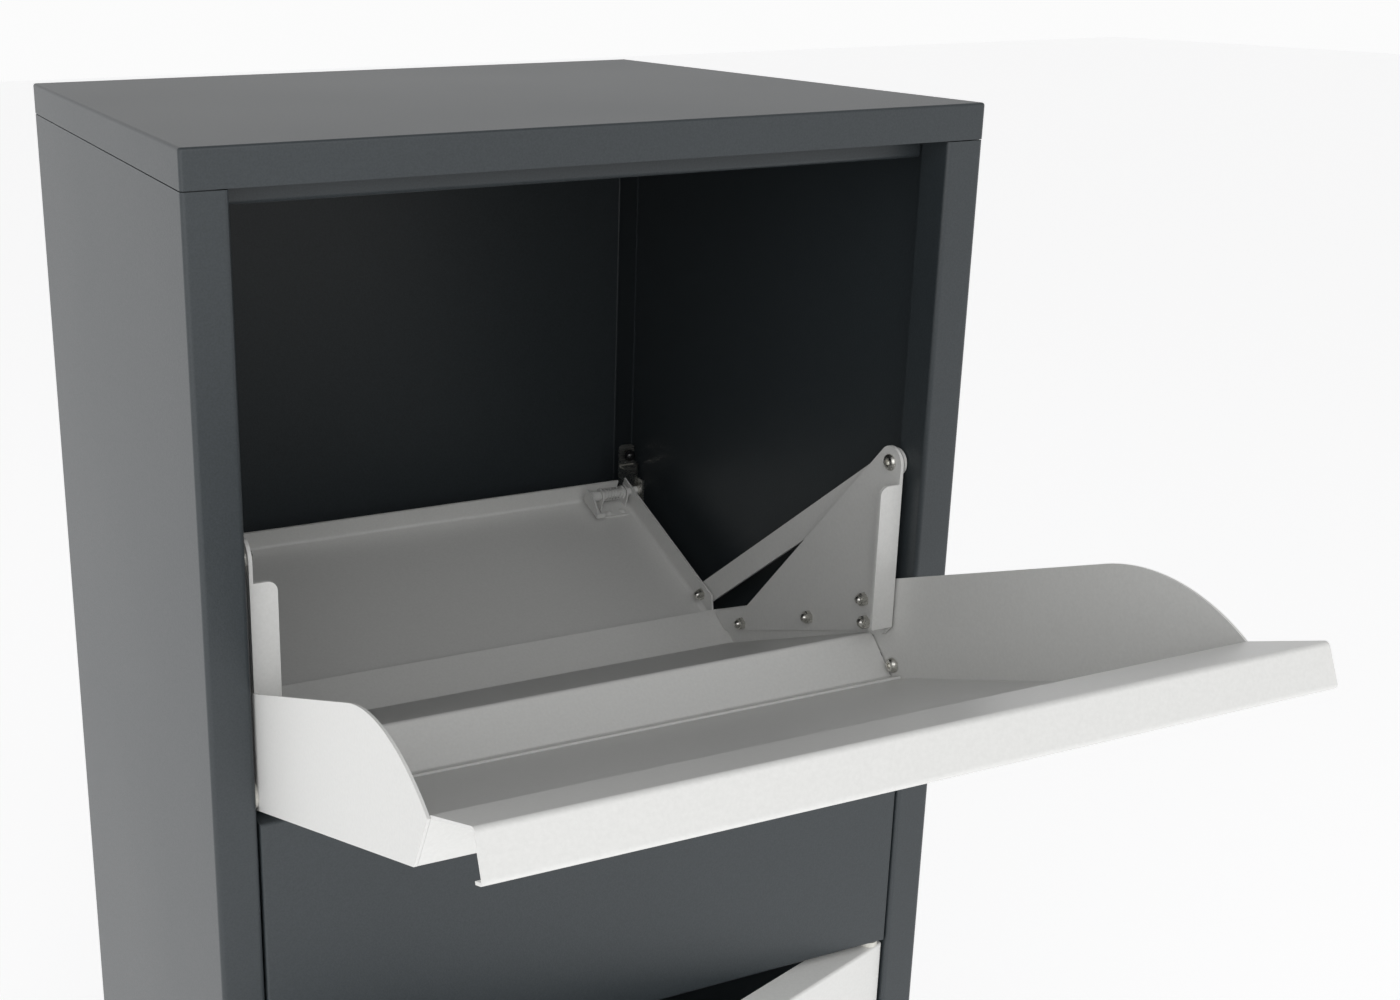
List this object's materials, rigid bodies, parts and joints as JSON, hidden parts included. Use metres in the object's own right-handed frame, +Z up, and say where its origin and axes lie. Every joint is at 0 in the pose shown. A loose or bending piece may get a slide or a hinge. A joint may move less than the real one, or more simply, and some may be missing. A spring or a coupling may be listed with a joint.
{
  "type": "parcel drop box",
  "caption": "Tall sheet-metal parcel drop box with a tilting hopper flap, a linked anti-theft baffle and a lockable lower door.",
  "frame": {"origin": "middle of the footprint, on the floor", "axes": "+X to the right as seen from the front, +Y to the back, +Z up; the front faces -Y"},
  "size_m": [0.41, 0.6304, 1.02],
  "materials": {
    "anthracite_powder_coat": "fine-textured satin powder coat",
    "white_powder_coat": "satin powder coat",
    "zinc_plated_steel": "bright zinc plate",
    "black_cap": "glossy",
    "nylon_washer": "plain nylon",
    "lock_chrome": "bright plate"
  },
  "bodies": {
    "cabinet": {"left_side_panel": "anthracite_powder_coat", "right_side_panel": "anthracite_powder_coat", "lid": "anthracite_powder_coat", "top_rail": "anthracite_powder_coat", "mid_panel": "anthracite_powder_coat", "plinth_panel": "anthracite_powder_coat", "base_pan": "anthracite_powder_coat", "back_panel": "anthracite_powder_coat", "left_hinge_bracket": "zinc_plated_steel", "right_hinge_bracket": "zinc_plated_steel", "bracket_caps": "black_cap", "hopper_pivot_screws": "zinc_plated_steel", "hopper_pivot_nuts": "zinc_plated_steel", "hopper_pivot_washers": "nylon_washer", "door_hinge_pins": "zinc_plated_steel", "door_hinge_washers": "nylon_washer"},
    "hopper": {"hopper_front": "white_powder_coat", "left_cheek": "white_powder_coat", "right_cheek": "white_powder_coat", "hopper_tray": "white_powder_coat", "left_gusset": "white_powder_coat", "right_gusset": "white_powder_coat", "gusset_screws": "white_powder_coat", "gusset_nuts": "zinc_plated_steel", "arm_pivot_screws": "zinc_plated_steel"},
    "left_arm": {"left_link_arm": "white_powder_coat", "left_link_arm_rivet": "zinc_plated_steel"},
    "right_arm": {"right_link_arm": "white_powder_coat", "right_link_arm_rivet": "zinc_plated_steel"},
    "baffle": {"baffle": "white_powder_coat", "baffle_studs": "zinc_plated_steel", "baffle_nuts": "zinc_plated_steel", "left_bolt_housing": "white_powder_coat", "right_bolt_housing": "white_powder_coat", "bolt_housing_rivets": "white_powder_coat"},
    "left_bolt": {"left_bolt_rod": "white_powder_coat", "left_bolt_lever": "white_powder_coat", "left_bolt_spring": "white_powder_coat"},
    "right_bolt": {"right_bolt_rod": "white_powder_coat", "right_bolt_lever": "white_powder_coat", "right_bolt_spring": "white_powder_coat"},
    "lower_door": {"lower_door": "white_powder_coat", "door_stiffener": "white_powder_coat", "lock_barrel": "lock_chrome", "lock_nut": "zinc_plated_steel"},
    "lock": {"lock_plug": "lock_chrome", "lock_cam": "zinc_plated_steel", "lock_cam_screw": "zinc_plated_steel"}
  },
  "joints": [
    {"name": "hopper_tilt", "type": "hinge", "parent": "cabinet", "child": "hopper", "pos_m": [0, -0.1785, 0.716], "axis": [-1, 0, 0], "range_deg": [0, 67.5]},
    {"name": "baffle_swing", "type": "hinge", "parent": "cabinet", "child": "baffle", "pos_m": [0, 0.1195, 0.725], "axis": [1, 0, 0], "range_deg": [0, 71.4]},
    {"name": "left_arm_swing", "type": "hinge", "parent": "hopper", "child": "left_arm", "pos_m": [-0.1825, -0.1675, 0.83], "axis": [1, 0, 0], "range_deg": [0, 71.2]},
    {"name": "right_arm_swing", "type": "hinge", "parent": "hopper", "child": "right_arm", "pos_m": [0.1825, -0.1675, 0.83], "axis": [1, 0, 0], "range_deg": [0, 71.2]},
    {"name": "left_bolt_slide", "type": "slide", "parent": "baffle", "child": "left_bolt", "axis": [1, 0, 0], "range_m": [0, 0.007], "stiffness_N_per_m": 300, "springref_m": -0.004, "deforming": ["left_bolt_spring"]},
    {"name": "right_bolt_slide", "type": "slide", "parent": "baffle", "child": "right_bolt", "axis": [-1, 0, 0], "range_m": [0, 0.007], "stiffness_N_per_m": 300, "springref_m": -0.004, "deforming": ["right_bolt_spring"]},
    {"name": "lower_door_swing", "type": "hinge", "parent": "cabinet", "child": "lower_door", "pos_m": [0.1755, -0.1825, 0.294], "axis": [0, 0, 1], "range_deg": [-18, 90]},
    {"name": "lock_turn", "type": "hinge", "parent": "lower_door", "child": "lock", "pos_m": [-0.14774, -0.29278, 0.4], "axis": [-0.309, 0.9511, 0], "range_deg": [-90, 0]}
  ],
  "couplings": [
    {"joint": "baffle_swing", "follows": "hopper_tilt", "ratio": 1.056},
    {"joint": "left_arm_swing", "follows": "hopper_tilt", "ratio": 1.0532},
    {"joint": "right_arm_swing", "follows": "hopper_tilt", "ratio": 1.0532}
  ]
}
